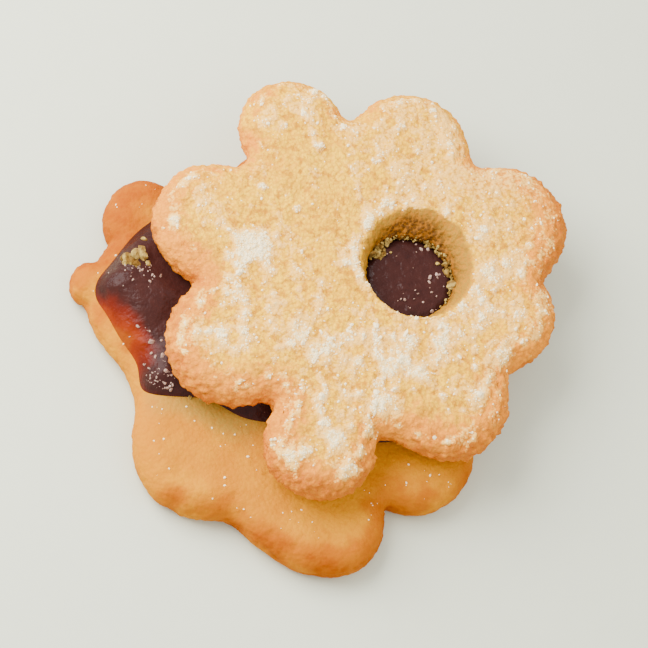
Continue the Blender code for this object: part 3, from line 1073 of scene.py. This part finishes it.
def sugared_biscuit():
    """Crumbly dough, toasted and then brown at its edge, dark in the window's rim, partly toast
    and jam stain and partly painted shade, and whiter the more sugar lies on it, with painted
    shade in its hollows and in the seams between its grains."""
    n = Nodes("sugared_biscuit")
    broad = n.noise(6.0 * MM, 3.0)
    medium = n.noise(1.3 * MM, 3.0, 0.6)
    fine = n.noise(0.35 * MM, 3.0, 0.6)
    grains = n.cells(0.55 * MM)
    # painted shade in the seams between the grains, with less sugar there
    seam_shade = n.rise(grains, 0.35, 0.75)
    toast = n.math("ADD", n.number("toast"), n.rise(medium, 0.3, 0.7, -0.18, 0.18))
    dough = n.mix(n.rise(broad, 0.3, 0.7), DOUGH, WARM_DOUGH)
    # painted shade in the crumb's hollows, laid where the medium noise is low
    dough = n.mix(n.rise(medium, 0.52, 0.36, 0.0, 0.9), dough, SHADED_HOLLOW_DOUGH)
    dough = n.mix(n.rise(toast, 0.05, 0.55), dough, TOASTED_DOUGH)
    dough = n.mix(n.rise(toast, 0.6, 1.1), dough, BROWN_DOUGH)
    depth = n.math("ADD", n.number("depth"), n.rise(medium, 0.3, 0.7, -0.05, 0.05))
    # down the window's rim: toast and jam stain, with painted shade
    dough = n.mix(n.rise(depth, 0.02, 0.24), dough, RIM_TOAST_SHADE_DOUGH)
    dough = n.mix(n.rise(depth, 0.26, 1.00), dough, RIM_STAIN_SHADE_DOUGH)
    dough = n.mix(n.math("MULTIPLY", seam_shade, 0.40), dough, SEAM_SHADE_DOUGH)
    powder = n.math("ADD", n.number("sugar"), n.rise(fine, 0.25, 0.75, -0.16, 0.16))
    powder = n.math("SUBTRACT", powder, n.math("MULTIPLY", seam_shade, 0.15))
    dusted = n.mix(n.rise(powder, 0.18, 0.52), dough, SUGAR_FILM)
    dusted = n.mix(n.rise(powder, 0.55, 0.85), dusted, SUGAR_DUST)
    colour = n.mix(n.rise(powder, 0.90, 1.08), dusted, SUGAR_WHITE)
    grain = n.bump(n.math("SUBTRACT", 1.0, grains), 0.14 * MM)
    grain = n.bump(fine, 0.14 * MM, grain)
    grain = n.bump(n.noise(0.14 * MM, 2.0), 0.05 * MM, grain)
    return n.set(
        Base_Color=colour,
        Roughness=n.rise(powder, 0.3, 0.8, 0.62, 0.9),
        Normal=grain,
        Specular_IOR_Level=0.06,
        Subsurface_Weight=0.08,
        Subsurface_Radius=(1.0, 0.5, 0.25),
        Subsurface_Scale=0.0010,
    )


GOLD = (0.51, 0.174, 0.000)
PALE_GOLD = (0.59, 0.230, 0.000)
TOASTED_GOLD = (0.42, 0.112, 0.000)
BROWN_GOLD = (0.31, 0.062, 0.000)
# dough soaked by jam, also darkened as a painted shadow of the upper biscuit
SOAKED_AND_SHADED_GOLD = (0.33, 0.190, 0.030)
SPECK_GOLD = (0.34, 0.09, 0.000)
SEAM_GOLD = (0.42, 0.12, 0.000)


def golden_biscuit():
    """Smooth golden dough, toasted and then brown at its edge, dull where jam has soaked in, and
    there also darkened by a painted shadow of the upper biscuit.
    """
    n = Nodes("golden_biscuit")
    broad = n.noise(8.0 * MM, 3.0)
    medium = n.noise(1.8 * MM, 3.0)
    fine = n.noise(0.4 * MM, 3.0, 0.6)
    grains = n.cells(0.7 * MM)
    toast = n.math("ADD", n.number("toast"), n.rise(medium, 0.3, 0.7, -0.08, 0.08))
    dough = n.mix(n.rise(broad, 0.35, 0.65), GOLD, PALE_GOLD)
    dough = n.mix(n.rise(toast, 0.15, 0.75), dough, TOASTED_GOLD)
    dough = n.mix(n.rise(toast, 0.70, 1.15), dough, BROWN_GOLD)
    # jam soaked in, and painted shadow of the upper biscuit
    dough = n.mix(n.rise(n.number("soak"), 0.1, 0.9, 0.0, 0.85), dough, SOAKED_AND_SHADED_GOLD)
    dough = n.mix(n.rise(fine, 0.60, 0.8, 0.0, 0.25), dough, SPECK_GOLD)
    dough = n.mix(n.rise(grains, 0.45, 0.8, 0.0, 0.20), dough, SEAM_GOLD)
    grain = n.bump(n.math("SUBTRACT", 1.0, grains), 0.08 * MM)
    grain = n.bump(fine, 0.09 * MM, grain)
    return n.set(
        Base_Color=dough,
        Roughness=n.rise(n.number("soak"), 0.1, 0.8, 0.6, 0.45),
        Normal=grain,
        Specular_IOR_Level=0.02,
        Subsurface_Weight=0.06,
        Subsurface_Radius=(1.0, 0.45, 0.2),
        Subsurface_Scale=0.0010,
    )


JAM_DARK = (0.021, 0.0060, 0.0052)
JAM_RED = (0.042, 0.0125, 0.0095)
JAM_THIN = (0.10, 0.009, 0.003)
JAM_THINNER = (0.18, 0.018, 0.001)
JAM_THINNEST = (0.22, 0.040, 0.001)


def fruit_jam():
    """Glossy dark jam, through red to orange as it gets thinner, by the mark "glow"."""
    n = Nodes("fruit_jam")
    medium = n.noise(1.5 * MM, 3.0)
    fine = n.noise(0.5 * MM, 2.0)
    glow = n.math("ADD", n.number("glow"), n.rise(medium, 0.3, 0.7, -0.03, 0.03))
    body = n.mix(medium, JAM_DARK, JAM_RED)
    body = n.mix(n.rise(glow, 0.08, 0.40), body, JAM_THIN)
    body = n.mix(n.rise(glow, 0.35, 0.70), body, JAM_THINNER)
    body = n.mix(n.rise(glow, 0.65, 1.00), body, JAM_THINNEST)
    return n.set(
        Base_Color=body,
        Roughness=n.rise(fine, 0.3, 0.7, 0.20, 0.36),
        Normal=n.bump(fine, 0.10 * MM, n.bump(medium, 0.16 * MM)),
        Specular_IOR_Level=0.08,
    )


SUGAR_DULL = (0.90, 0.70, 0.36)
SUGAR_BRIGHT = (0.97, 0.84, 0.52)
DAMP_DARK = (0.17, 0.09, 0.07)
DAMP_PALE = (0.42, 0.27, 0.20)
CRUMB_DARK = (0.13, 0.060, 0.008)
CRUMB_PALE = (0.42, 0.29, 0.075)
BOARD = (0.605, 0.625, 0.475)
BOARD_SPECK = (0.625, 0.645, 0.495)


def loose_sugar():
    """Dry powdered sugar, matt and nearly white."""
    n = Nodes("powdered_sugar")
    fine = n.noise(0.1 * MM, 2.0)
    return n.set(
        Base_Color=n.mix(fine, SUGAR_DULL, SUGAR_BRIGHT),
        Roughness=0.85,
        Normal=n.bump(fine, 0.03 * MM),
        Specular_IOR_Level=0.1,
    )


def damp_sugar():
    """Half dissolved sugar, tinted by the jam."""
    n = Nodes("damp_sugar")
    fine = n.noise(0.15 * MM, 2.0)
    return n.set(
        Base_Color=n.mix(fine, DAMP_DARK, DAMP_PALE),
        Roughness=0.4,
        Normal=n.bump(fine, 0.03 * MM),
    )


def crumb_dough():
    """Crumbs of dough, some of them dark with jam."""
    n = Nodes("crumb_dough")
    medium = n.noise(1.2 * MM, 3.0)
    fine = n.noise(0.2 * MM, 2.0)
    return n.set(
        Base_Color=n.mix(n.rise(medium, 0.35, 0.65), CRUMB_DARK, CRUMB_PALE),
        Roughness=0.85,
        Normal=n.bump(fine, 0.12 * MM),
        Specular_IOR_Level=0.1,
    )


def pale_floor():
    """A plain matt board."""
    n = Nodes("pale_floor")
    speck = n.noise(4.0 * MM, 2.0)
    return n.set(Base_Color=n.mix(speck, BOARD, BOARD_SPECK), Roughness=0.8)


# ======== floor, light and camera

VIEW_TILT = np.radians(25.0)  # of the camera from straight above
VIEW_TURN = np.radians(60.0)  # direction from +X in which the cookie runs away from it
VIEW_DISTANCE = 0.60
VIEW_WIDTH = 0.098  # of the view at that distance
SENSOR = 36.0
NEAR_LIMIT = 0.01
FLOOR_SIZE = 4.0
FLOOR_DROP = 0.2 * MM  # keeps the floor just clear of the cookie's underside
SKY_STRENGTH = 1.55
# Square lamps: name, direction from the cookie, distance and size (m), and power (W).
LAMPS = (
    ("key", (-0.85, 0.50, 0.95), 0.30, 0.27, 3.2),
    ("fill", (0.8, -0.3, 0.9), 0.9, 0.8, 2.0),
)


def make_floor():
    """A level board under the cookie."""
    bpy.ops.mesh.primitive_plane_add(size=FLOOR_SIZE, location=(0.0, 0.0, -FLOOR_DROP))
    floor = bpy.context.object
    floor.name = "floor"
    floor.data.materials.append(pale_floor())


def add_lamp(name, direction, distance, size, power):
    """A square lamp at a distance from the cookie in a direction, facing it."""
    data = bpy.data.lights.new(name, "AREA")
    data.size = size
    data.energy = power
    lamp = bpy.data.objects.new(name, data)
    way = np.array(direction, float)
    way /= np.linalg.norm(way)
    lamp.location = way * distance
    lamp.rotation_euler = Vector(way).to_track_quat("Z", "Y").to_euler()
    bpy.context.scene.collection.objects.link(lamp)


def make_light():
    """The lamps, and an even pale sky."""
    for lamp in LAMPS:
        add_lamp(*lamp)
    world = bpy.data.worlds.new("studio")
    world.use_nodes = True
    sky = world.node_tree.nodes["Background"]
    sky.inputs["Color"].default_value = (1.0, 1.0, 1.0, 1.0)
    sky.inputs["Strength"].default_value = SKY_STRENGTH
    bpy.context.scene.world = world


def make_camera():
    """A long lens that looks down on the cookie, tilted from straight above about a line square
    to the turn, so that +X stays to the right."""
    data = bpy.data.cameras.new("camera")
    data.sensor_width = SENSOR
    data.lens = SENSOR * VIEW_DISTANCE / VIEW_WIDTH
    data.clip_start = NEAR_LIMIT
    camera = bpy.data.objects.new("camera", data)
    turn = Matrix.Rotation(VIEW_TURN - 0.5 * np.pi, 4, "Z")
    tilt = Matrix.Rotation(VIEW_TILT, 4, "X")
    pose = turn @ tilt @ turn.inverted()
    middle = (Vector(CAD_BOX[0]) + Vector(CAD_BOX[1])) / 2.0
    pose.translation = middle + VIEW_DISTANCE * pose.col[2].to_3d()
    camera.matrix_world = pose
    bpy.context.scene.collection.objects.link(camera)
    bpy.context.scene.camera = camera


# ======== the cookie

def main():
    """Camera, light and floor, then the biscuits, the jam, and what lies loose on them."""
    make_camera()
    make_light()
    make_floor()
    upper_outline, place, surface, sugar = make_upper_biscuit()
    jam_line = jam_outline(AROUND_JAM)
    lower_outline, lower_surface = make_lower_biscuit(place, jam_line)
    jam_surface = make_jam(place, jam_line, lower_outline, upper_outline)
    powder = loose_sugar()
    make_sugar(surface, sugar, powder)
    make_fallen_sugar(lower_surface, place, upper_outline, jam_line, powder)
    make_jam_grains(jam_surface, place, upper_outline)
    make_crumbs(jam_surface, place)


main()
